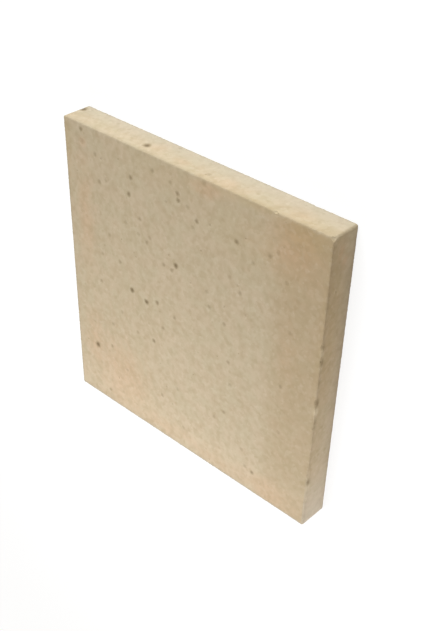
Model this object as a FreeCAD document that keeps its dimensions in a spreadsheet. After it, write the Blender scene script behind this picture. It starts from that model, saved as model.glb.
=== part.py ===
"""A square fire-clay slab, the thin kind of refractory brick, lying flat on a bed face.

The slab is pressed in one piece and fired, so it is one solid. Its outline corners are
rounded by the mould, its long arrises are eased, and handling has knocked shell-shaped
chips out of three of the arrises and broken one upper corner.

Frame: the origin is under the middle of the slab, on the surface that it lies on. Z is
up, through the thickness. X runs along the length and Y along the width. The front edge,
with the row of chips, looks towards -Y, and the head edge looks towards +X.
All sizes are in millimetres.
"""

import FreeCAD, Part

import os

import Sketcher

NODE = "firebrick_slab"
SHEET = "Sizes"

SLAB_SIZES = (
    # A 300 x 300 x 30 slab, as it comes from the press and the kiln.
    ("slab_length", 300.0),
    ("slab_width", 300.0),
    ("slab_thickness", 30.0),
    # The mould's corners, seen in the outline, and the eased edge round each bed face.
    ("corner_radius", 2.5),
    ("arris_radius", 1.2),
    # The broken corner reaches this far along its three edges, and is hollowed this much.
    ("corner_break_reach", 4.0),
    ("corner_break_hollow", 0.4),
)

# Chips in the arris between the upper bed face and the front edge, from the head end:
# name, distance from the foot end, length along the arris, depth below the sharp arris.
FRONT_CHIPS = (
    ("first_chip", 201.0, 8.0, 1.3),
    ("second_chip", 187.0, 5.0, 1.0),
    ("third_chip", 145.0, 9.0, 1.4),
    ("fourth_chip", 117.0, 6.0, 1.2),
    ("fifth_chip", 64.0, 10.0, 1.5),
    ("sixth_chip", 54.0, 6.0, 1.1),
    ("seventh_chip", 33.0, 9.0, 1.3),
)

# Chips in the upper and the lower arris of the head edge:
# name, distance from the front edge, length along the arris, depth, and bed face.
UPPER_BED, LOWER_BED = "upper", "lower"
HEAD_CHIPS = (
    ("head_nick", 55.4, 5.0, 1.2, UPPER_BED),
    ("head_notch", 39.0, 7.0, 1.2, LOWER_BED),
)


def make_sheet(doc):
    """Writes each driving dimension into a row: its name, and its value under that alias."""
    rows = list(SLAB_SIZES)
    for name, station, length, depth in FRONT_CHIPS:
        rows += [(name + "_station", station), (name + "_length", length), (name + "_depth", depth)]
    for name, inset, length, depth, _bed in HEAD_CHIPS:
        rows += [(name + "_inset", inset), (name + "_length", length), (name + "_depth", depth)]
    sheet = doc.addObject("Spreadsheet::Sheet", SHEET)
    for row, (alias, value) in enumerate(rows, start=1):
        sheet.set(f"A{row}", alias)
        sheet.set(f"B{row}", str(value))
        sheet.setAlias(f"B{row}", alias)
    doc.recompute()
    return sheet


def origin_plane(body, role):
    """Returns one of the body's own origin planes."""
    return next(plane for plane in body.Origin.OriginFeatures if plane.Role == role)


def outline_sketch(body, sheet):
    """Draws the outline of the slab on the ground, centred on the origin."""
    sketch = body.newObject("Sketcher::SketchObject", "Outline")
    sketch.AttachmentSupport = (origin_plane(body, "XY_Plane"), [""])
    sketch.MapMode = "FlatFace"
    x, y = sheet.slab_length / 2, sheet.slab_width / 2
    corners = [(-x, -y), (x, -y), (x, y), (-x, y)]
    for (x1, y1), (x2, y2) in zip(corners, corners[1:] + corners[:1]):
        line = Part.LineSegment(FreeCAD.Vector(x1, y1, 0), FreeCAD.Vector(x2, y2, 0))
        sketch.addGeometry(line, False)
    front, head, rear, foot = range(4)
    start, end = 1, 2
    origin = (-1, 1)
    for line, following in ((front, head), (head, rear), (rear, foot), (foot, front)):
        sketch.addConstraint(Sketcher.Constraint("Coincident", line, end, following, start))
    for line in (front, rear):
        sketch.addConstraint(Sketcher.Constraint("Horizontal", line))
    for line in (head, foot):
        sketch.addConstraint(Sketcher.Constraint("Vertical", line))
    sketch.addConstraint(Sketcher.Constraint("Symmetric", front, start, rear, start, *origin))
    length = sketch.addConstraint(Sketcher.Constraint("DistanceX", front, start, front, end, 2 * x))
    width = sketch.addConstraint(Sketcher.Constraint("DistanceY", head, start, head, end, 2 * y))
    sketch.renameConstraint(length, "length")
    sketch.renameConstraint(width, "width")
    sketch.setExpression("Constraints.length", f"{SHEET}.slab_length")
    sketch.setExpression("Constraints.width", f"{SHEET}.slab_width")
    return sketch


def pad_slab(body, sketch):
    """Gives the outline the slab's thickness, upwards from the ground."""
    pad = body.newObject("PartDesign::Pad", "Slab")
    pad.Profile = sketch
    pad.setExpression("Length", f"{SHEET}.slab_thickness")
    return pad


def round_edges(body, base, name, radius_alias, belongs):
    """Fillets the edges of a feature that the test picks."""
    edges = [f"Edge{i}" for i, edge in enumerate(base.Shape.Edges, start=1) if belongs(edge)]
    fillet = body.newObject("PartDesign::Fillet", name)
    fillet.Base = (base, edges)
    fillet.setExpression("Radius", f"{SHEET}.{radius_alias}")
    return fillet


def stands_upright(edge):
    """True for the four edges that run through the thickness, from bed face to bed face."""
    return edge.BoundBox.XLength < 1e-6 and edge.BoundBox.YLength < 1e-6


def bounds_bed_face(edge):
    """True for the edges that lie wholly in the upper or the lower bed face."""
    return edge.BoundBox.ZLength < 1e-6


def scoop(body, name, radius, centre):
    """Cuts a shell-shaped hollow with a sphere, from expressions for its radius and centre."""
    sphere = body.newObject("PartDesign::SubtractiveSphere", name)
    sphere.setExpression("Radius", radius)
    for axis, place in zip("xyz", centre):
        sphere.setExpression(f"Placement.Base.{axis}", place)
    return sphere


def arris_scoop(name):
    """Returns a chip's sphere radius, and how far out of each face its centre stands.

    The sphere passes through both ends of the chip on the sharp arris, and the deepest
    point of the hollow lies the chip's depth below that arris, on the 45 degree line.
    """
    length, depth = f"{SHEET}.{name}_length", f"{SHEET}.{name}_depth"
    radius = f"({length}^2 / 4 + {depth}^2) / (2 * {depth})"
    stand_off = f"({radius} - {depth}) / sqrt(2)"
    return radius, stand_off


def chip_front_arris(body):
    """Knocks the row of chips out of the arris between the upper bed and the front edge."""
    for name, _station, _length, _depth in FRONT_CHIPS:
        radius, stand_off = arris_scoop(name)
        x = f"{SHEET}.{name}_station - {SHEET}.slab_length / 2"
        y = f"-{SHEET}.slab_width / 2 - {stand_off}"
        z = f"{SHEET}.slab_thickness + {stand_off}"
        scoop(body, name, radius, (x, y, z))


def chip_head_arrises(body):
    """Knocks the chips out of the two long arrises of the head edge."""
    for name, _inset, _length, _depth, bed in HEAD_CHIPS:
        radius, stand_off = arris_scoop(name)
        x = f"{SHEET}.slab_length / 2 + {stand_off}"
        y = f"{SHEET}.{name}_inset - {SHEET}.slab_width / 2"
        above, below = f"{SHEET}.slab_thickness + {stand_off}", f"-({stand_off})"
        scoop(body, name, radius, (x, y, above if bed == UPPER_BED else below))


def break_corner(body):
    """Breaks off the upper corner of the front and head edges, slightly hollow.

    The sphere passes through the three points that the break reaches on the corner's
    edges. They lie on a circle, whose plane is reach / sqrt(3) below the sharp corner.
    """
    reach, hollow = f"{SHEET}.corner_break_reach", f"{SHEET}.corner_break_hollow"
    radius = f"(2 / 3 * {reach}^2 + {hollow}^2) / (2 * {hollow})"
    stand_off = f"({radius} - {hollow} - {reach} / sqrt(3)) / sqrt(3)"
    x = f"{SHEET}.slab_length / 2 + {stand_off}"
    y = f"-{SHEET}.slab_width / 2 - {stand_off}"
    z = f"{SHEET}.slab_thickness + {stand_off}"
    return scoop(body, "corner_break", radius, (x, y, z))


def check(doc, body):
    """Stops if a feature has failed, or if the slab isn't one valid solid."""
    for thing in doc.Objects:
        if "Invalid" in thing.State or "Error" in thing.State:
            raise RuntimeError(f"{thing.Name} failed: {thing.State}")
    shape = body.Shape
    if shape.isNull() or not shape.isValid() or len(shape.Solids) != 1:
        raise RuntimeError(f"{body.Label} is not one valid solid")


def main():
    doc = FreeCAD.newDocument("Firebrick")
    sheet = make_sheet(doc)
    body = doc.addObject("PartDesign::Body", "Body")
    body.Label = NODE
    slab = pad_slab(body, outline_sketch(body, sheet))
    doc.recompute()
    corners = round_edges(body, slab, "Corners", "corner_radius", stands_upright)
    doc.recompute()
    round_edges(body, corners, "Arrises", "arris_radius", bounds_bed_face)
    doc.recompute()
    volume_before = body.Shape.Volume
    chip_front_arris(body)
    chip_head_arrises(body)
    break_corner(body)
    doc.recompute()
    check(doc, body)
    os.makedirs("parts", exist_ok=True)
    body.Shape.exportStep(f"parts/{body.Label}.step")
    box = body.Shape.optimalBoundingBox()
    print(f"{body.Label}: {box.XLength:.2f} x {box.YLength:.2f} x {box.ZLength:.2f} mm")
    print(f"volume {body.Shape.Volume / 1000:.2f} cm3")
    print(f"knocked off as chips: {volume_before - body.Shape.Volume:.1f} mm3")


main()
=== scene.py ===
# %% [markdown]
# This lesson dresses a refractory fire-clay slab: 300 x 300 x 30 mm, and about 5.4 kg.
# The real one is made from moist fire clay and grog, which is clay that was fired before and
# crushed. The mix is pressed in a steel mould, dried and fired. That gives flat, fine-grained
# buff faces, rounded mould corners, rubbed arrises with shell-shaped chips, and brown specks
# where bits of iron ore in the clay melted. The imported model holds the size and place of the
# slab, so it is loaded first, and everything below is worked out from its box.

# %% Load the frame
import math
from collections import namedtuple

import bpy
import bmesh
import numpy as np
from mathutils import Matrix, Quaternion, Vector, noise


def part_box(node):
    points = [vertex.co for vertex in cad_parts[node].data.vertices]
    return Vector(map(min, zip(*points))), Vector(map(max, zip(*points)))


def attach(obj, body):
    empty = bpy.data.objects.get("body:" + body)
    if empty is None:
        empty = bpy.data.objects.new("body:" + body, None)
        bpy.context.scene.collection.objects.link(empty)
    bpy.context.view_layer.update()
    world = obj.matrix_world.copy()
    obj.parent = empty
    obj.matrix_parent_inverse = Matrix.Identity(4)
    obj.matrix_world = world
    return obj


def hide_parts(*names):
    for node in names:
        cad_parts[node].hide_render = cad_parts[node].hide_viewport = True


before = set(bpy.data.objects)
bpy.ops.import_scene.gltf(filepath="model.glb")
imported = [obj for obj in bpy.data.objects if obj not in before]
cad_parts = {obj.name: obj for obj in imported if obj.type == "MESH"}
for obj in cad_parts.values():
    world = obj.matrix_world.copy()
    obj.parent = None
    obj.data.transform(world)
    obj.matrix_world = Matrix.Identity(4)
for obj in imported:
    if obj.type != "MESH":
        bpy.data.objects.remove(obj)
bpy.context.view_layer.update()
NODE = "firebrick_slab"
low, high = (np.array(corner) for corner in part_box(NODE))
size, middle = high - low, (high + low) / 2
MM = 0.001
print("CAD nodes:", len(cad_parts))
print("slab in mm:", (size / MM).round(2), "middle:", (middle / MM).round(2))

# %% [markdown]
# The blank. A slab could be one subdivided cube with a Bevel modifier, but the mould gives two
# roundings in a fixed order: first the four upright corners, which the steel mould box rounds,
# and then the arris round each bed face, which the press and the first handling ease. Beveling
# in edit mode in that same order gives both radii exactly, and the arris runs round the corners.

# %% Press the blank
CORNER_RADIUS = 2.5 * MM
ARRIS_RADIUS = 1.2 * MM
CORNER_STEPS, ARRIS_STEPS = 5, 4
A_HAIR = 0.01 * MM


def pick_edges(test):
    """Selects the edges in edit mode that pass a test, and returns how many there are."""
    bpy.ops.mesh.select_all(action="DESELECT")
    work = bmesh.from_edit_mesh(bpy.context.object.data)
    chosen = [edge for edge in work.edges if test(edge.verts[0].co, edge.verts[1].co)]
    for edge in chosen:
        edge.select_set(True)
    bmesh.update_edit_mesh(bpy.context.object.data)
    return len(chosen)


def is_upright(start, end):
    """True for an edge that runs through the thickness."""
    return abs(start.z - end.z) > size[2] / 2


def is_in_bed_face(start, end):
    """True for an edge that lies in the upper or the lower bed face."""
    return start.z == end.z and min(abs(start.z - low[2]), abs(start.z - high[2])) < A_HAIR


bpy.ops.object.select_all(action="DESELECT")
bpy.ops.mesh.primitive_cube_add(size=1, location=middle, scale=size)
bpy.ops.object.transform_apply(location=True, rotation=True, scale=True)
slab = bpy.context.object
slab.name = "fired_slab"
bpy.context.tool_settings.mesh_select_mode = (False, True, False)
bpy.ops.object.mode_set(mode="EDIT")
print("corner edges:", pick_edges(is_upright))
bpy.ops.mesh.bevel(offset=CORNER_RADIUS, segments=CORNER_STEPS)
print("arris edges:", pick_edges(is_in_bed_face))
bpy.ops.mesh.bevel(offset=ARRIS_RADIUS, segments=ARRIS_STEPS)

# %% [markdown]
# The grid. Chips, pits and unevenness need points to move. A Subdivision modifier would round
# the slab again, and a remesh would blur its crisp arrises. So the blank is sliced straight
# through with bisect, every 2.5 mm across its length, its width and its thickness. The outer
# cuts fall where the corner arcs end, so no thin sliver is left beside them.

# %% Slice the blank into a grid
GRID = 2.5 * MM


def slice_across(axis, margin):
    """Cuts the mesh square across an axis in even steps, from one margin to the other."""
    steps = round((size[axis] - 2 * margin) / GRID)
    places = np.linspace(low[axis] + margin, high[axis] - margin, steps + 1)
    normal = [0.0, 0.0, 0.0]
    normal[axis] = 1.0
    for place in places:
        point = [0.0, 0.0, 0.0]
        point[axis] = place
        bpy.ops.mesh.select_all(action="SELECT")
        bpy.ops.mesh.bisect(plane_co=point, plane_no=normal)
    return len(places)


print("cuts:", [slice_across(axis, CORNER_RADIUS) for axis in range(3)])
bpy.ops.object.mode_set(mode="OBJECT")

# %% [markdown]
# Finer cells where the detail is. A grid that is fine all over would have millions of faces.
# Here an edge is halved, again and again, only while it is longer than its place needs. The
# places are the arrises, the chips, the specks and the pits, and each is given as a test on
# points.


# %% Read, write and refine points
def read_points(piece):
    """Returns the places of a piece's points, as rows of x, y and z."""
    flat = np.empty(3 * len(piece.data.vertices))
    piece.data.vertices.foreach_get("co", flat)
    return flat.reshape(-1, 3)


def write_points(piece, points):
    """Moves a piece's points to new places."""
    piece.data.vertices.foreach_set("co", points.ravel())
    piece.data.update()


def refine(piece, is_near, longest):
    """Halves the edges whose middle is near a place until none of them is too long."""
    while True:
        mesh = piece.data
        points = read_points(piece)
        ends = np.empty(2 * len(mesh.edges), int)
        mesh.edges.foreach_get("vertices", ends)
        start, end = points[ends[0::2]], points[ends[1::2]]
        lengths = np.linalg.norm(end - start, axis=1)
        chosen = (lengths > longest) & is_near((start + end) / 2)
        if not chosen.any():
            return
        mesh.vertices.foreach_set("select", np.zeros(len(mesh.vertices), bool))
        mesh.polygons.foreach_set("select", np.zeros(len(mesh.polygons), bool))
        mesh.edges.foreach_set("select", chosen)
        bpy.ops.object.mode_set(mode="EDIT")
        bpy.ops.mesh.subdivide(number_cuts=1, ngon=False)
        bpy.ops.object.mode_set(mode="OBJECT")


def arris_gap(points):
    """Returns how far each point of the surface lies from the nearest sharp edge of the box."""
    depths = size / 2 - np.abs(points - middle)
    return np.sort(depths, axis=1)[:, 1]


ARRIS_BAND = 2.6 * MM
ARRIS_CELL = 0.7 * MM
refine(slab, lambda points: arris_gap(points) < ARRIS_BAND, ARRIS_CELL)
print("faces with fine arrises:", len(slab.data.polygons))

# %% [markdown]
# The chips. A knock on an arris spalls off a shell, and what is left is a shallow hollow that
# is part of a sphere. The source cuts these same hollows, so the numbers are the same here:
# how far along the arris, how long and how deep. A boolean with a sphere would also do, but
# it leaves glassy smooth hollows and slivers. Here the points inside the sphere are pushed out
# to its surface, a little unevenly, which leaves the sandy break that grog gives.

# %% Size and place the chips
UPPER, LOWER = high[2], low[2]

# Along the upper front arris: distance from the foot end, length, depth.
FRONT_CHIPS = (
    (201, 8, 1.3),
    (187, 5, 1.0),
    (145, 9, 1.4),
    (117, 6, 1.2),
    (64, 10, 1.5),
    (54, 6, 1.1),
    (33, 9, 1.3),
)

# In the head edge's arrises: distance from the front edge, length, depth, and which bed face.
HEAD_CHIPS = (
    (55.4, 5, 1.2, UPPER),
    (39, 7, 1.2, LOWER),
)

CORNER_BREAK_REACH = 4.0 * MM
CORNER_BREAK_HOLLOW = 0.4 * MM

Shell = namedtuple("Shell", "centre radius")


def shell_on_arris(on_arris, outward, length, depth):
    """The sphere that passes through both ends of a chip and lies its depth below the arris."""
    radius = (length**2 / 4 + depth**2) / (2 * depth)
    centre = np.array(on_arris) + np.array(outward) / math.sqrt(2) * (radius - depth)
    return Shell(centre, radius)


def shell_on_corner(corner, outward, reach, hollow):
    """The sphere through the three points that a broken corner reaches on its edges."""
    radius = (2 / 3 * reach**2 + hollow**2) / (2 * hollow)
    stand_off = radius - hollow - reach / math.sqrt(3)
    return Shell(np.array(corner) + np.array(outward) / math.sqrt(3) * stand_off, radius)


broken_corner = (high[0], low[1], UPPER)
shells = [shell_on_corner(broken_corner, (1, -1, 1), CORNER_BREAK_REACH, CORNER_BREAK_HOLLOW)]
for station, length, depth in FRONT_CHIPS:
    place = (low[0] + station * MM, low[1], UPPER)
    shells.append(shell_on_arris(place, (0, -1, 1), length * MM, depth * MM))
for inset, length, depth, bed in HEAD_CHIPS:
    place = (high[0], low[1] + inset * MM, bed)
    up = 1 if bed == UPPER else -1
    shells.append(shell_on_arris(place, (1, 0, up), length * MM, depth * MM))
print("shells:", len(shells))

# %% Knock the chips out
CHIP_CELL = 0.36 * MM
CHIP_MARGIN = 0.5 * MM
CHIP_ROUGHNESS = 0.10 * MM
CHIP_GRAIN = 1.1 * MM


def near_a_shell(points):
    """True for points inside a chip's sphere, or just outside it."""
    near = np.zeros(len(points), bool)
    for shell in shells:
        near |= np.linalg.norm(points - shell.centre, axis=1) < shell.radius + CHIP_MARGIN
    return near


def grain_at(points, grain):
    """Returns smooth noise at each point, from -1 to 1, whose lumps are one grain wide."""
    return np.array([noise.noise(Vector(point / grain)) for point in points])


refine(slab, near_a_shell, CHIP_CELL)
points = read_points(slab)
broken = np.zeros(len(points), bool)
for shell in shells:
    away = points - shell.centre
    distance = np.linalg.norm(away, axis=1)
    inside = distance < shell.radius
    uneven = 1 + CHIP_ROUGHNESS / shell.radius * (1 + grain_at(points[inside], CHIP_GRAIN))
    points[inside] = shell.centre + away[inside] * (shell.radius / distance[inside] * uneven)[:, None]
    broken |= inside
write_points(slab, points)
print("points in chips:", broken.sum())

# %% [markdown]
# Unevenness. A pressed and fired face is flat to about a tenth of a millimetre, and its arrises
# have lost grains here and there. Sculpting that by hand can't be repeated, so two Displace
# modifiers do it with procedural textures, and are then applied. Both only push inwards, which
# keeps the slab inside its real size. A vertex group keeps the crumbling at the arrises.


# %% Wear the faces and arrises
def wear(piece, name, lump, depth, contrast, group=""):
    """Sinks a piece's surface unevenly, in lumps of one size and down to a depth."""
    texture = bpy.data.textures.new(name, "CLOUDS")
    texture.noise_scale = lump
    texture.noise_depth = 2
    texture.contrast = contrast
    modifier = piece.modifiers.new(name, "DISPLACE")
    modifier.texture = texture
    modifier.texture_coords = "LOCAL"
    modifier.mid_level = 1
    modifier.strength = depth
    modifier.vertex_group = group
    bpy.ops.object.modifier_apply(modifier=name)


arris_group = slab.vertex_groups.new(name="arris")
closeness = np.clip(1 - arris_gap(read_points(slab)) / ARRIS_BAND, 0, 1)
for index in np.flatnonzero(closeness):
    arris_group.add([int(index)], float(closeness[index]), "REPLACE")
wear(slab, "warp", lump=28 * MM, depth=0.12 * MM, contrast=1)
wear(slab, "crumble", lump=1.7 * MM, depth=0.5 * MM, contrast=1.6, group="arris")
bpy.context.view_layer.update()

# %% [markdown]
# Specks and pits. Each bit of iron ore melts into a brown speck, 1 to 4 mm wide, that sits in
# a small hollow. A few hollows are bare: there a grain fell out. A texture could draw them all,
# but then none would catch the light. So each is dented into the mesh, and the same loop notes
# for the material how far inside a speck or a pit each point is, and how dark the speck is. On
# the upper bed face and the head edge the specks stand where the real slab has them, and its
# front edge has none. The lower bed face and the other two edges get some at random, from a
# fixed seed.

# %% Sorts of speck and their places
# Each sort of speck has a width in mm and a darkness for its iron middle. The width takes in
# the rusty rim, which fades out, so the part that looks brown is about half as wide.
Sort = namedtuple("Sort", "width darkness")
BLOT = Sort(9.0, 0.85)
LARGE = Sort(6.9, 0.7)
MIDDLING = Sort(5.8, 0.36)
SMALL = Sort(5.3, 0.14)
FAINT = Sort(5.0, 0.03)
RUSTY = Sort(6.5, 0.05)

# Places on the upper bed face, from its middle towards the head edge and the rear edge, in mm.
UPPER_BED_SPECKS = {
    BLOT: [(-86, 122)],
    LARGE: [(56, 11), (4, 68), (0, 49)],
    MIDDLING: [
        (108, -57), (126, 9), (120, 65), (120, 8), (-40, 40), (103, 68), (109, -13), (6, 35),
        (144, 127), (-125, -87),
    ],
    SMALL: [
        (-74, -50), (126, 110), (49, 16), (-100, 30), (50, 26), (0, 13), (64, 47), (-19, 28),
        (110, -92), (-5, 111), (-15, -53), (-136, 106), (62, -63), (23, -47), (28, 83), (-77, 100),
        (32, -29), (-9, -112), (136, 38), (84, 55), (101, 106),
    ],
    FAINT: [
        (-49, 97), (-96, 79), (-28, 83), (96, -75), (-59, -114), (133, 17), (-86, -38), (46, -26),
        (68, 57), (72, -51), (-81, 9), (73, 73), (93, -110), (101, -9), (-39, -56), (70, 43),
        (118, -3), (-123, -78), (51, 96), (49, -118), (-105, -73), (116, -100), (-124, 1),
        (105, 97), (-41, 62), (27, 107),
    ],
    RUSTY: [(146, -21), (133, 126)],
}

# Places on the head edge, from its middle towards the rear edge and the upper bed, in mm.
HEAD_SPECKS = {
    BLOT: [(54, 5), (146, -6)],
    FAINT: [(-18, 6), (31, -11)],
}

# %% Place the specks and pits
# A face of the slab: the axis that it faces along, and which way.
Face = namedtuple("Face", "axis side")
FACES = {
    "upper_bed": Face(2, 1),
    "lower_bed": Face(2, -1),
    "head": Face(0, 1),
    "foot": Face(0, -1),
    "front": Face(1, -1),
    "rear": Face(1, 1),
}
RANDOM_SPECKS = {"lower_bed": 36, "foot": 4, "rear": 4}
RANDOM_PITS = {"upper_bed": 16, "lower_bed": 16, "foot": 2, "front": 1, "rear": 2}
RANDOM_SORTS = (BLOT, LARGE, MIDDLING, SMALL, FAINT)
RANDOM_SHARES = (0.02, 0.08, 0.15, 0.35, 0.4)
BARE_PIT = Sort(2.2, 0.0)
CLEAR_OF_ARRIS = 5 * MM
SEED = 300

Spot = namedtuple("Spot", "place inward radius darkness")
rng = np.random.default_rng(SEED)


def on_face(face, first, second, sort):
    """A spot on a face, at two distances from the face's middle along its own two axes."""
    place = middle.copy()
    place[face.axis] += face.side * size[face.axis] / 2
    along = [axis for axis in range(3) if axis != face.axis]
    place[along[0]] += first
    place[along[1]] += second
    inward = np.zeros(3)
    inward[face.axis] = -face.side
    return Spot(place, inward, sort.width * MM / 2, sort.darkness)


def scatter(face, sorts):
    """Spots of the given sorts at random places on a face, clear of the arrises."""
    room = [size[axis] / 2 - CLEAR_OF_ARRIS for axis in range(3) if axis != face.axis]
    return [on_face(face, *(rng.uniform(-1, 1, 2) * room), sort) for sort in sorts]


spots = []
for name, groups in (("upper_bed", UPPER_BED_SPECKS), ("head", HEAD_SPECKS)):
    for sort, places in groups.items():
        spots += [on_face(FACES[name], first * MM, second * MM, sort) for first, second in places]
for name, count in RANDOM_SPECKS.items():
    chosen = rng.choice(len(RANDOM_SORTS), count, p=RANDOM_SHARES)
    spots += scatter(FACES[name], [RANDOM_SORTS[index] for index in chosen])
for name, count in RANDOM_PITS.items():
    spots += scatter(FACES[name], [BARE_PIT] * count)
print("specks and pits:", len(spots))

# %% Dent them into the slab
SPOT_CELL = 0.65 * MM
SPOT_MARGIN = 0.4 * MM
SPECK_DEPTH = 0.15 * MM
PIT_DEPTH = 0.4 * MM

# How far a rim strays, as a share of the radius, and what is noted for a point outside.
SPOT_RAGGED = 0.3
OUTSIDE = -1.0


def near_a_spot(points):
    """True for points inside a speck or pit, or just outside it."""
    near = np.zeros(len(points), bool)
    for spot in spots:
        near |= np.linalg.norm(points - spot.place, axis=1) < spot.radius + SPOT_MARGIN
    return near


refine(slab, near_a_spot, SPOT_CELL)
points = read_points(slab)
iron, pit = np.full(len(points), OUTSIDE), np.full(len(points), OUTSIDE)
iron_darkness = np.zeros(len(points))
for spot in spots:
    offset = points - spot.place
    sunk = offset @ spot.inward
    across = np.linalg.norm(offset - sunk[:, None] * spot.inward, axis=1)
    near = np.flatnonzero((across < 2 * spot.radius) & (np.abs(sunk) < spot.radius))
    ragged = spot.radius * (1 + SPOT_RAGGED * grain_at(points[near], spot.radius))
    inside = 1 - across[near] / ragged
    is_pit = spot.darkness == BARE_PIT.darkness
    bowl = np.where(inside > 0, 1 - (1 - inside) ** 2, 0)
    points[near] += spot.inward * (PIT_DEPTH if is_pit else SPECK_DEPTH) * bowl[:, None]
    field = pit if is_pit else iron
    field[near] = np.maximum(field[near], inside)
    iron_darkness[near] = np.maximum(iron_darkness[near], spot.darkness)
write_points(slab, points)
print("faces:", len(slab.data.polygons), "points in specks:", (iron > 0).sum())

# %% [markdown]
# What the material needs to know. Some of the finish follows the slab's own shape: a band
# beside each arris is painted darker, and so is a strip along the upper front arris. Chips show
# fresh clay, with painted shade at one end and a painted highlight at the other. The foot end is
# painted paler, as painted bounce light, and the kiln's flame leaves a peach blush near the
# edges. Object coordinates can't tell that, so it is painted in code as attributes, one number
# for each point.

# %% Patches of blush, painted shade and highlights in the chips, and ochre
# A soft patch of a finish: its middle and its reach along x, y and z in mm, and its strength.
Patch = namedtuple("Patch", "place reach strength")
BLUSH = (
    Patch((60, 127, 30), (55, 11, 9), 0.75),
    Patch((-85, 124, 30), (38, 13, 9), 0.75),
    Patch((-110, 84, 30), (42, 34, 9), 0.95),
    Patch((-137, 30, 30), (12, 60, 9), 0.55),
    Patch((-136, -104, 30), (14, 34, 9), 0.8),
    Patch((-138, -40, 30), (12, 40, 9), 0.5),
    Patch((141, -22, 30), (7, 16, 9), 1.0),
    Patch((122, -112, 30), (22, 26, 9), 0.75),
    Patch((20, -118, 30), (30, 12, 9), 0.25),
    Patch((132, 126, 30), (5, 5, 9), 0.8),
    Patch((133, -150, 19), (6, 5, 3), 0.9),
    Patch((124, -150, 13), (5, 5, 3), 0.9),
    Patch((150, 45, 15), (5, 12, 9), 0.45),
    Patch((150, 12, 20), (5, 9, 7), 0.45),
    Patch((150, -38, 22), (5, 16, 8), 0.45),
    Patch((150, -115, 18), (5, 14, 8), 0.35),
)

# The chips on the upper front arris get painted shade at the end that points to the head edge,
# and a painted highlight at their other end. Stations are distances from the foot end, as for
# the chips.
SHADED_CHIP_ENDS = (
    (249, 0.35), (201, 0.6), (186, 0.65), (166, 0.35), (144, 0.9), (124, 0.45), (117, 0.35),
    (54, 0.75),
)
HIGHLIGHT_CHIP_ENDS = ((196, 0.6), (181, 0.4), (135, 1.0), (48, 0.6))
CHIP_SHADE_REACH = (4.2, 1.8, 2.0)
CHIP_HIGHLIGHT_REACH = (5, 2.5, 2.5)
BELOW_ARRIS = 1.5

# Ochre from the flame, along the upper head arris, at the front corner and on the front edge.
OCHRE_PATCHES = (
    Patch((150, -70, 30), (8, 80, 5), 0.8),
    Patch((140, -122, 30), (18, 28, 9), 1.0),
    Patch((116, -75, 30), (26, 50, 9), 0.4),
    Patch((140, 20, 30), (16, 60, 6), 0.3),
    Patch((128, 149, 30), (34, 8, 9), 0.8),
    Patch((70, -150, 18), (95, 5, 15), 0.8),
)


# %% Paint the specks and the patches
def paint(piece, name, values):
    """Writes one number for each point of a piece as a named attribute."""
    attribute = piece.data.attributes.new(name, "FLOAT", "POINT")
    attribute.data.foreach_set("value", np.asarray(values, np.float32))
    print(name, "from", round(float(np.min(values)), 2), "to", round(float(np.max(values)), 2))


def soft(patches):
    """How much of a finish is at each point, from the strongest of its soft patches there."""
    found = np.zeros(len(points))
    for patch in patches:
        away = np.linalg.norm((points / MM - patch.place) / patch.reach, axis=1)
        found = np.maximum(found, patch.strength * np.exp(-(away**2)))
    return found


def along_arris(ends, reach):
    """Soft patches on the front edge, just below its upper arris."""
    return [
        Patch((low[0] / MM + station, low[1] / MM, high[2] / MM - BELOW_ARRIS), reach, strength)
        for station, strength in ends
    ]


points = read_points(slab)
paint(slab, "iron", iron)
paint(slab, "iron_darkness", iron_darkness)
paint(slab, "pit", pit)
paint(slab, "blush", soft(BLUSH))
paint(slab, "ochre", soft(OCHRE_PATCHES))
# Painted shade at the head-side ends of the front chips.
paint(slab, "chip_shade", soft(along_arris(SHADED_CHIP_ENDS, CHIP_SHADE_REACH)))

# %% Paint the darker front strip and the bounce light at the foot
# The slab is painted darker along its upper front arris: where across the bed that begins
# and is full, how far it reaches down the front edge, and how far from the head edge it stops,
# all in mm, and how much of it is left at the foot.
DARKER_STARTS, DARKER_FULL = -84, -118
DARKER_DOWN = 18
DARKER_OFF_HEAD = 3
DARKER_AT_FOOT = 0.6

# A pale, slightly pink coat covers the foot end: its paleness is painted bounce light, and its
# pink is the clay's own tint. Where along the length it begins and is full, in mm, how slowly it
# sets in, how close to the foot arris it thins out again, in mm, and how much of it is left there.
BOUNCE_STARTS, BOUNCE_FULL = -95, -150
BOUNCE_SLOWLY = 1.5
BOUNCE_THINS = 25
BOUNCE_AT_ARRIS = 0.3

front_darkening = np.clip((points[:, 1] / MM - DARKER_STARTS) / (DARKER_FULL - DARKER_STARTS), 0, 1)
front_darkening = front_darkening**2 * (3 - 2 * front_darkening)
front_darkening *= np.clip(1 - (high[2] - points[:, 2]) / MM / DARKER_DOWN, 0, 1)
front_darkening *= np.clip((high[0] - points[:, 0]) / MM / DARKER_OFF_HEAD, 0, 1)
front_darkening *= np.interp(points[:, 0], (low[0], high[0]), (DARKER_AT_FOOT, 1))
paint(slab, "front_darkening", front_darkening)
# Painted bounce light: paler towards the foot end.
foot_bounce = np.clip((BOUNCE_STARTS - points[:, 0] / MM) / (BOUNCE_STARTS - BOUNCE_FULL), 0, 1)
foot_bounce = foot_bounce**BOUNCE_SLOWLY
foot_bounce *= np.clip((points[:, 0] - low[0]) / MM / BOUNCE_THINS, BOUNCE_AT_ARRIS, 1)
paint(slab, "foot_bounce", foot_bounce)

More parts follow.
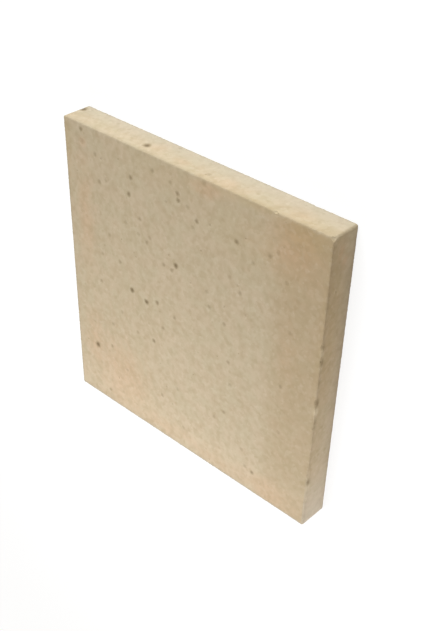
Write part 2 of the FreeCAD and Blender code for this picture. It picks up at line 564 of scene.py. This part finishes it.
# %% Paint the dust, the darker arris band, the fresh breaks and the chip highlights
# Grey dust on the four narrow edges: how far up it reaches, in mm, how much of it the front
# edge has, and where along the length, in mm, the foot end becomes dusty all over.
DUST_REACH = 20
DUST_ON_FRONT = 0.3
DUSTY_FOOT_STARTS, DUSTY_FOOT_FULL = -80, -135
ON_AN_EDGE = 2.0 * MM

# A band beside every arris is painted darker, and less of it shows where the strip along the
# front is painted darker. A chip shows some fresh clay all over.
ARRIS_BAND_WIDTH = 4.0 * MM
FRONT_HIDES_ARRIS_BAND = 0.6
FRESH_IN_CHIPS = 0.4

off_side = (size / 2 - np.abs(points - middle))[:, :2].min(axis=1)
dust = np.clip(1 - (points[:, 2] - low[2]) / MM / DUST_REACH, 0, 1)
dust *= np.where(points[:, 1] < low[1] + ON_AN_EDGE, DUST_ON_FRONT, 1)
dusty_foot = (DUSTY_FOOT_STARTS - points[:, 0] / MM) / (DUSTY_FOOT_STARTS - DUSTY_FOOT_FULL)
dust = np.maximum(dust, np.clip(dusty_foot, 0, 1)) * (off_side < ON_AN_EDGE)
paint(slab, "dust", dust)
arris_band = np.clip(1 - arris_gap(points) / ARRIS_BAND_WIDTH, 0, 1)
paint(slab, "arris_band", arris_band * (1 - FRONT_HIDES_ARRIS_BAND * front_darkening))
in_shells = np.zeros(len(points))
for shell in shells:
    gap = np.linalg.norm(points - shell.centre, axis=1) - shell.radius
    in_shells = np.maximum(in_shells, 1 - np.abs(gap) / CHIP_MARGIN)
in_chips = in_shells * (arris_gap(points) < ARRIS_BAND_WIDTH)
# Painted highlights at the foot-side ends of the front chips, on top of the fresh clay in them.
chip_highlights = soft(along_arris(HIGHLIGHT_CHIP_ENDS, CHIP_HIGHLIGHT_REACH))
paint(slab, "broken", np.maximum(FRESH_IN_CHIPS * in_chips, chip_highlights))

# %% Smooth the shading
SHARP_FROM = math.radians(38)
bpy.ops.object.shade_smooth_by_angle(angle=SHARP_FROM)
triangles = sum(len(face.vertices) - 2 for face in slab.data.polygons)
print("triangles:", triangles)

# %% [markdown]
# The finish: fired fire clay, also called chamotte. It is pressed damp and fired at about
# 1300 degrees without a glaze. To the eye that is a dry, quite matt, warm buff, never one flat
# colour. It has slow tone changes from the kiln, a faint mottle of grog grains 1 to 6 mm wide,
# sandy grain, and brown iron specks. An image texture would be quicker, but it would repeat and
# blur. So each of these is a procedural mask with its own size in millimetres, and the colours
# are laid over each other in the order in which the real ones lie.

# %% Colours and one helper for nodes
BUFF = "CAB89C"
DEEP_BUFF = "BFAE8F"
GREY_BUFF = "BFB596"
PEACH = "D9AE8A"
# The next colour paints bounce light onto the foot end.
FOOT_BOUNCE_PALE = "E3CDB0"
# The next colour darkens a strip along the upper front arris.
FRONT_DARKER = "AC8E64"
PALE_GROG = "DFD1B9"
TAN_GROG = "A8926E"
OCHRE = "C09E5E"
GREY_DUST = "C0BAAE"
# The next colour darkens a band beside every arris.
ARRIS_BAND_DARK = "9C9078"
# The next colour is painted shade for the chips' head-side ends.
CHIP_SHADE_BROWN = "74623F"
# Fresh clay, which also paints the highlights at the chips' foot-side ends.
FRESH_CLAY_AND_HIGHLIGHT = "E0D0B0"
PIT_SHADE = "8E7A5C"
RUST = "7E6A44"
IRON_BROWN = "54442A"


def linear(hex_code):
    """Turns an sRGB colour such as CAB89C into the linear colour that a socket holds."""
    parts = [int(hex_code[start : start + 2], 16) / 255 for start in (0, 2, 4)]
    lit = [part / 12.92 if part <= 0.04045 else ((part + 0.055) / 1.055) ** 2.4 for part in parts]
    return lit + [1.0]


def cells_of(width):
    """The scale at which one cell of a pattern is that many millimetres wide."""
    return 1 / (width * MM)


def add(tree, kind, inputs=None, **settings):
    """Adds a node with its settings, and fills its inputs with values or links."""
    made = tree.nodes.new("ShaderNode" + kind)
    for name, value in settings.items():
        setattr(made, name, value)
    for name, value in (inputs or {}).items():
        if isinstance(value, bpy.types.NodeSocket):
            tree.links.new(value, made.inputs[name])
        else:
            made.inputs[name].default_value = value
    return made


# %% [markdown]
# The masks. Noise gives what changes smoothly, such as tone and sand. Voronoi gives grains:
# each of its cells holds one grain, and a random number of the cell's own sets the grain's
# size or tone. A grain shows where the slab's face happens to cut through it, as in the real
# body. Map Range then sets where each mask begins and ends.

# %% Masks of the fired clay
fire_clay = bpy.data.materials.new("pressed_fire_clay")
fire_clay.use_nodes = True
tree = fire_clay.node_tree
tree.nodes.clear()
place = add(tree, "TexCoord").outputs["Object"]
noises, masks = {}, {}


def grown(pattern, start, end, top=1.0):
    """The settings of a mask that grows from 0 to its top while a pattern goes from start to end."""
    return {"Value": pattern, "From Min": start, "From Max": end, "To Min": 0.0, "To Max": top}


def noise_of(width, detail):
    """The settings of a noise whose lumps are that many millimetres wide."""
    return {"Vector": place, "Scale": cells_of(width), "Detail": detail, "Roughness": 0.5}


def grains_of(width):
    """The settings of a Voronoi pattern whose cells are that many millimetres wide."""
    return {"Vector": place, "Scale": cells_of(width)}


# Smooth patterns: the width of their lumps in mm, their detail, and where each mask starts and
# ends. Real sand is about half a millimetre wide. It is drawn at 1.4 mm, because a pixel of the
# picture covers more than a millimetre of the slab.
SMOOTH_PATTERNS = {
    "kiln_tone": (85, 1, 0.35, 0.65),
    "hue_patches": (17, 1, 0.4, 0.62),
    "mottle": (7.0, 1, 0.4, 0.7),
    "sand": (1.4, 3, 0.35, 0.7),
}
for name, (width, detail, start, end) in SMOOTH_PATTERNS.items():
    noises[name] = add(tree, "TexNoise", noise_of(width, detail)).outputs["Fac"]
    masks[name] = add(tree, "MapRange", grown(noises[name], start, end)).outputs["Result"]

# %% Masks of the grog, the fine specks and the pores
# Grog that fills its cells: their width in mm, and from where on a grain's own random number
# gives it a tone.
GROG_WIDTH = 3.3
TONED_FROM = 0.5
grog_cells = add(tree, "TexVoronoi", grains_of(GROG_WIDTH))
grog_random = add(tree, "SeparateColor", {"Color": grog_cells.outputs["Color"]})
for name, channel in (("tan_grog", "Red"), ("light_grog", "Green")):
    toned = grown(grog_random.outputs[channel], TONED_FROM, 1.0)
    masks[name] = add(tree, "MapRange", toned).outputs["Result"]

# Grains and pores that lie apart: the width of their cells in mm, the channel that holds the
# random number for their size, from where on that number counts, and then their largest radius
# and their soft edge, both as shares of a cell.
LYING_APART = {
    "pale_grog": (4.4, "Red", 0.3, 0.36, 0.08),
    "fine_specks": (8, "Green", 0.6, 0.14, 0.08),
    "dull_grog": (9.5, "Blue", 0.1, 0.3, 0.2),
    "pores": (2.2, "Blue", 0.4, 0.22, 0.15),
}
for name, (width, channel, start, largest, edge) in LYING_APART.items():
    cells = add(tree, "TexVoronoi", grains_of(width))
    numbers = add(tree, "SeparateColor", {"Color": cells.outputs["Color"]})
    sized = grown(numbers.outputs[channel], start, 1.0, largest)
    radius = add(tree, "MapRange", sized).outputs["Result"]
    depth = add(
        tree, "Math", {0: radius, 1: cells.outputs["Distance"]}, operation="SUBTRACT"
    ).outputs["Value"]
    masks[name] = add(tree, "MapRange", grown(depth, 0.0, edge)).outputs["Result"]
print("masks:", ", ".join(masks))

# %% [markdown]
# The attributes are soft-edged, because they are stored on points, and these lie about 0.6 mm
# apart in the specks and further apart elsewhere. A little noise is added to each before Map
# Range cuts it, so a speck gets a ragged rim, and the blush and the darker arris band break up
# instead of ending in a smooth line.

# %% Masks from the attributes
rim_noise = add(tree, "TexNoise", noise_of(0.7, 2)).outputs["Fac"]
patch_noise = add(tree, "TexNoise", noise_of(9, 3)).outputs["Fac"]

# Attribute, noise that breaks it up, how much, and where the mask starts and ends.
BROKEN_UP = {
    "iron": (rim_noise, 0.6, 0.2, 0.8),
    "rust": (rim_noise, 0.6, -0.1, 0.75),
    "pit": (rim_noise, 0.7, 0.0, 0.5),
    "arris_band": (patch_noise, 1.1, 0.15, 0.85),
    "blush": (patch_noise, 0.7, 0.05, 0.75),
    "broken": (rim_noise, 0.5, 0.1, 0.8),
    "chip_shade": (rim_noise, 0.5, 0.1, 0.8),
}

# The rust reads the same attribute as the iron, and starts further out.
STORED_IN = {"rust": "iron"}

for name, (breaker, amount, start, end) in BROKEN_UP.items():
    stored = add(tree, "Attribute", attribute_name=STORED_IN.get(name, name)).outputs["Fac"]
    centred = add(tree, "Math", {0: breaker, 1: 0.5}, operation="SUBTRACT").outputs["Value"]
    mixed = add(
        tree, "Math", {0: centred, 1: amount, 2: stored}, operation="MULTIPLY_ADD"
    ).outputs["Value"]
    masks[name] = add(tree, "MapRange", grown(mixed, start, end)).outputs["Result"]

for name in ("front_darkening", "foot_bounce", "ochre", "dust"):
    masks[name] = add(tree, "Attribute", attribute_name=name).outputs["Fac"]

# A paler speck has a paler rim too, but the rim fades less than the iron in the middle.
RIM_OF_PALEST = 0.4
darkness = add(tree, "Attribute", attribute_name="iron_darkness").outputs["Fac"]
rim_darkness = add(
    tree, "Math", {0: darkness, 1: RIM_OF_PALEST}, operation="ADD", use_clamp=True
).outputs["Value"]
for name, whole, shows in (("iron_middle", "iron", darkness), ("rusty_rim", "rust", rim_darkness)):
    shown = {0: masks[whole], 1: shows}
    masks[name] = add(tree, "Math", shown, operation="MULTIPLY").outputs["Value"]

# %% Lay the colours over each other
# Each coat is a mask, the colour that it brings, and how much of it shows.
COATS = (
    ("kiln_tone", DEEP_BUFF, 0.15),
    ("hue_patches", GREY_BUFF, 0.3),
    # Darker along the upper front arris.
    ("front_darkening", FRONT_DARKER, 0.4),
    ("ochre", OCHRE, 0.28),
    ("blush", PEACH, 0.3),
    # Painted bounce light: the foot end paler, with the clay's own pink tint.
    ("foot_bounce", FOOT_BOUNCE_PALE, 0.5),
    ("mottle", TAN_GROG, 0.28),
    ("tan_grog", TAN_GROG, 0.14),
    ("light_grog", PALE_GROG, 0.13),
    ("pale_grog", PALE_GROG, 0.12),
    ("dull_grog", TAN_GROG, 0.4),
    ("sand", TAN_GROG, 0.03),
    ("dust", GREY_DUST, 0.35),
    # A band beside every arris, painted darker.
    ("arris_band", ARRIS_BAND_DARK, 0.25),
    # Fresh clay in the chips, and a painted highlight at the foot-side ends of the front chips.
    ("broken", FRESH_CLAY_AND_HIGHLIGHT, 0.6),
    # Painted shade at the head-side ends of the front chips.
    ("chip_shade", CHIP_SHADE_BROWN, 0.6),
    ("fine_specks", RUST, 0.4),
    ("pit", PIT_SHADE, 0.3),
    ("rusty_rim", RUST, 0.7),
    ("iron_middle", IRON_BROWN, 0.6),
)

# A Mix node has sockets for each kind of data. These are the numbers of those for colours.
FACTOR, COAT_UNDER, COAT_OVER, COAT_RESULT = 0, 6, 7, 2

colour = linear(BUFF)
for name, hex_code, shows in COATS:
    amount = add(tree, "Math", {0: masks[name], 1: shows}, operation="MULTIPLY").outputs["Value"]
    coat = {FACTOR: amount, COAT_UNDER: colour, COAT_OVER: linear(hex_code)}
    colour = add(tree, "Mix", coat, data_type="RGBA").outputs[COAT_RESULT]
print("coats:", len(COATS), "nodes so far:", len(tree.nodes))

# %% [markdown]
# Roughness and grain. Fired clay is open-pored, so its gloss is spread out almost to nothing:
# an IOR near 1.5, as in any silicate, a roughness above 0.9 and a weak specular. Only the
# melted iron is a bit smoother. The finest relief is narrower than the mesh's cells, so a Bump
# node adds it, with its heights in millimetres: sand, grog that stands proud, and pores.

# %% Relief and the shader
# Each relief is a pattern and its height in millimetres.
RELIEF = (
    (noises["sand"], 0.027),
    (grog_random.outputs["Red"], 0.01),
    (masks["pores"], -0.06),
)
CLAY_ROUGHNESS, IRON_ROUGHNESS = 0.93, 0.6
CLAY_IOR = 1.5
CLAY_SPECULAR = 0.3

height = 0.0
for pattern, rise in RELIEF:
    height = add(
        tree, "Math", {0: pattern, 1: rise, 2: height}, operation="MULTIPLY_ADD"
    ).outputs["Value"]
bump = add(tree, "Bump", {"Height": height, "Distance": MM, "Strength": 1.0}).outputs["Normal"]
roughness = add(
    tree, "MapRange",
    {
        "Value": masks["iron"], "From Min": 0.0, "From Max": 1.0,
        "To Min": CLAY_ROUGHNESS, "To Max": IRON_ROUGHNESS,
    },
).outputs["Result"]
shader = add(
    tree, "BsdfPrincipled",
    {
        "Base Color": colour, "Roughness": roughness, "Normal": bump,
        "IOR": CLAY_IOR, "Specular IOR Level": CLAY_SPECULAR,
    },
).outputs["BSDF"]
add(tree, "OutputMaterial", {"Surface": shader})
slab.data.materials.clear()
slab.data.materials.append(fire_clay)

# %% Tie the slab to the frame
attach(slab, "root")
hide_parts(NODE)

# %% [markdown]
# The floor. It is plain, pale and matt, and it should show as white without more light on the
# slab. So for rays from the camera, and for those of gloss and glass, it glows just enough to
# reach white, on top of a little diffuse grey that still takes the slab's shadow. For all
# other rays it is simply pale. Far from the slab the lamps no longer reach it, so there the
# glow grows until it is white by itself, and from a low angle the floor runs into the white
# room without a line.

# %% Lay the floor
FLOOR_SIDE = 12.0
FLOOR_PALE = "E4E2DE"
FLOOR_SHADE = 0.22

# The glow near the slab and far off, where 1 is white, and the distances between which it
# grows, in metres.
FLOOR_GLOW, FLOOR_GLOW_FAR = 0.86, 1.0
GLOW_GROWS_FROM, GLOW_GROWS_TO = 0.5, 2.0


def background_rays(tree):
    """A mask of the rays that should see white: those of the camera, of gloss and of glass."""
    rays = add(tree, "LightPath").outputs
    camera_or_gloss = add(
        tree, "Math", {0: rays["Is Camera Ray"], 1: rays["Is Glossy Ray"]}, operation="MAXIMUM"
    ).outputs["Value"]
    return add(
        tree, "Math", {0: camera_or_gloss, 1: rays["Is Transmission Ray"]}, operation="MAXIMUM"
    ).outputs["Value"]


bpy.ops.object.select_all(action="DESELECT")
bpy.ops.mesh.primitive_plane_add(size=FLOOR_SIDE, location=(0, 0, low[2]))
bpy.ops.object.transform_apply(location=True, rotation=True, scale=True)
floor = bpy.context.object
floor.name = "studio_floor"
floor_paint = bpy.data.materials.new("matt_studio_floor")
floor_paint.use_nodes = True
tree = floor_paint.node_tree
tree.nodes.clear()
pale = add(tree, "BsdfDiffuse", {"Color": linear(FLOOR_PALE)}).outputs["BSDF"]
shade = add(tree, "BsdfDiffuse", {"Color": (FLOOR_SHADE, FLOOR_SHADE, FLOOR_SHADE, 1)}).outputs["BSDF"]
where = add(tree, "TexCoord").outputs["Object"]
far = add(tree, "VectorMath", {0: where}, operation="LENGTH").outputs["Value"]
glow_strength = add(
    tree, "MapRange",
    {
        "Value": far, "From Min": GLOW_GROWS_FROM, "From Max": GLOW_GROWS_TO,
        "To Min": FLOOR_GLOW, "To Max": FLOOR_GLOW_FAR,
    },
).outputs["Result"]
glow = add(tree, "Emission", {"Strength": glow_strength}).outputs["Emission"]
seen = add(tree, "AddShader", {0: shade, 1: glow}).outputs["Shader"]
both = add(tree, "MixShader", {0: background_rays(tree), 1: pale, 2: seen}).outputs["Shader"]
add(tree, "OutputMaterial", {"Surface": both})
floor.data.materials.append(floor_paint)

# %% [markdown]
# The light. A white room gives soft light from everywhere. A large softbox beyond the head edge
# lights that edge most and the bed face less. A small one over the foot end gives the bed face
# its slow change from bright to dim, and a low one does the same for the front edge. A lamp's
# power says little by itself, so each is set by how bright a white card at the slab would look,
# facing that lamp alone.

# %% Light the slab
ROOM_TINT = "FFEDCB"
ROOM_BRIGHTNESS = 0.2


def softbox(name, place, aim, width, height, brightness, hex_code):
    """A rectangular area lamp that lights a white card at its aim to a brightness."""
    away = (Vector(aim) - Vector(place)).length
    data = bpy.data.lights.new(name, "AREA")
    data.shape = "RECTANGLE"
    data.size, data.size_y = width, height
    data.energy = brightness * (math.pi * away) ** 2
    data.color = linear(hex_code)[:3]
    lamp = bpy.data.objects.new(name, data)
    lamp.location = place
    lamp.rotation_euler = (Vector(aim) - Vector(place)).to_track_quat("-Z", "Y").to_euler()
    lamp.visible_camera = False
    bpy.context.scene.collection.objects.link(lamp)
    print(name, round(data.energy, 1), "W")


softbox(
    "head_softbox", place=(2.2, 0.3, 0.9), aim=(0, 0, 0.03),
    width=1.2, height=1.2, brightness=1.08, hex_code="F1F8FF",
)
softbox(
    "foot_softbox", place=(-0.28, 0.05, 0.45), aim=(-0.2, 0.05, 0.0),
    width=0.3, height=0.3, brightness=0.76, hex_code="F6F9FF",
)
softbox(
    "front_softbox", place=(-0.35, -0.5, 0.12), aim=(-0.12, -0.15, 0.015),
    width=0.25, height=0.12, brightness=0.66, hex_code="F1F5FF",
)

world = bpy.data.worlds.new("white_room")
bpy.context.scene.world = world
world.use_nodes = True
tree = world.node_tree
tree.nodes.clear()
room = add(
    tree, "Background", {"Color": linear(ROOM_TINT), "Strength": ROOM_BRIGHTNESS}
).outputs["Background"]
white = add(tree, "Background", {"Color": (1, 1, 1, 1), "Strength": 1.0}).outputs["Background"]
both = add(tree, "MixShader", {0: background_rays(tree), 1: room, 2: white}).outputs["Shader"]
add(tree, "OutputWorld", {"Surface": both})

# %% [markdown]
# The camera. It stands as the photographer's did, past the head and front edges, and looks
# down on the bed face. It is rolled about its own axis, so that the head edge is at the top of
# the picture. Its place came from the seven corners of the slab, its focal length is given in
# pixels of the 421 x 631 picture, and the shift keeps the slab in the picture's middle.

# %% Set the camera
PICTURE_HEIGHT = 631
FOCAL_PIXELS = 994.15
SHIFT_PIXELS = 64.5
CAMERA_PLACE = Vector((515.5, -505.0, 549.8)) * MM
CAMERA_AIM = Vector((-45.9, -32.8, 30.0)) * MM
CAMERA_ROLL = math.radians(-123.1)

data = bpy.data.cameras.new("photo_camera")
data.lens = FOCAL_PIXELS / PICTURE_HEIGHT * data.sensor_width
data.shift_y = SHIFT_PIXELS / PICTURE_HEIGHT
camera = bpy.data.objects.new("photo_camera", data)
camera.location = CAMERA_PLACE
straight = (CAMERA_AIM - CAMERA_PLACE).to_track_quat("-Z", "Y")
camera.rotation_euler = (straight @ Quaternion((0, 0, 1), CAMERA_ROLL)).to_euler()
bpy.context.scene.collection.objects.link(camera)
bpy.context.scene.camera = camera
bpy.context.scene.view_settings.view_transform = "Standard"
print("lens", round(data.lens, 2), "mm, shift", round(data.shift_y, 4))
